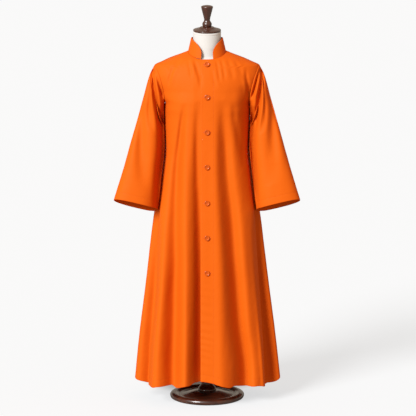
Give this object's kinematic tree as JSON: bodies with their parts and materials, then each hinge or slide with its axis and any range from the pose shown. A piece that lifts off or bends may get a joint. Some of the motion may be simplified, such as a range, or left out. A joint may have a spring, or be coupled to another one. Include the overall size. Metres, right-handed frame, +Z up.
{
  "type": "choir cassock on a limbless dress form",
  "caption": "Full-length choir cassock with stand collar, buttoned front and wide sleeves, on a limbless dress form with a turned wooden base.",
  "frame": {"origin": "centre of the flat underside of the stand's base", "axes": "+Z up, -Y towards the garment's front, +X towards the wearer's left"},
  "size_m": [0.7918, 0.476, 1.694],
  "materials": {
    "cassock_cloth": "plain orange cassock cloth with a fine twill weave and a slight satin sheen",
    "button_plastic": "orange polyester buttons with a raised rim, dyed to match the cloth",
    "form_jersey": "cream jersey stretched over the form",
    "dark_wood": "turned hardwood, stained dark brown and gloss varnished"
  },
  "bodies": {
    "root": {"front_left": "cassock_cloth", "front_right": "cassock_cloth", "back": "cassock_cloth", "sleeve_left": "cassock_cloth", "sleeve_right": "cassock_cloth", "collar": "cassock_cloth", "button_1": "button_plastic", "button_2": "button_plastic", "button_3": "button_plastic", "button_4": "button_plastic", "button_5": "button_plastic", "button_6": "button_plastic", "button_7": "button_plastic", "form_body": "form_jersey", "pole": "dark_wood", "base": "dark_wood", "neck_cap": "dark_wood", "finial": "dark_wood"}
  },
  "joints": []
}
